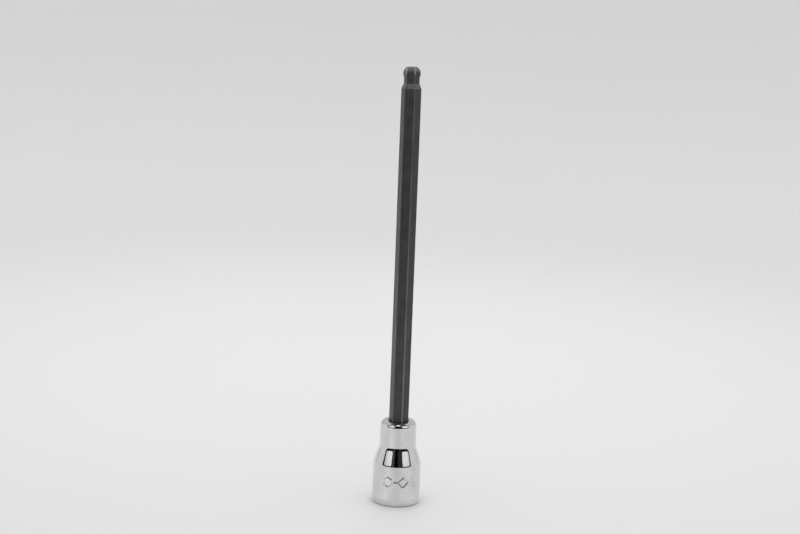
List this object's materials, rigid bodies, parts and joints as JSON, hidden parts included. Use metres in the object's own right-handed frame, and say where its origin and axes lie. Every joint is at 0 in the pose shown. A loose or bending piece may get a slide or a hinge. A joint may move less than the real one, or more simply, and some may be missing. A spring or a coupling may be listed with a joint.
{
  "type": "long ball-end hex bit socket",
  "caption": "Long ball-end hex bit socket: a chrome socket body with a square drive recess holds a long black hex bit with a ball tip.",
  "frame": {"origin": "centre of the drive end, on the surface that the tool stands on", "axes": "+Z along the common axis from the drive end to the ball tip; two opposite flats of the hex bit and two walls of the square recess face +Y and -Y"},
  "size_m": [0.0176, 0.0176, 0.16],
  "materials": {
    "polished_chrome": "bright chrome plate over turned steel",
    "black_oxide_steel": "satin black oxide on hardened steel"
  },
  "bodies": {
    "root": {"drive_socket": "polished_chrome", "hex_bit": "black_oxide_steel"}
  },
  "joints": []
}
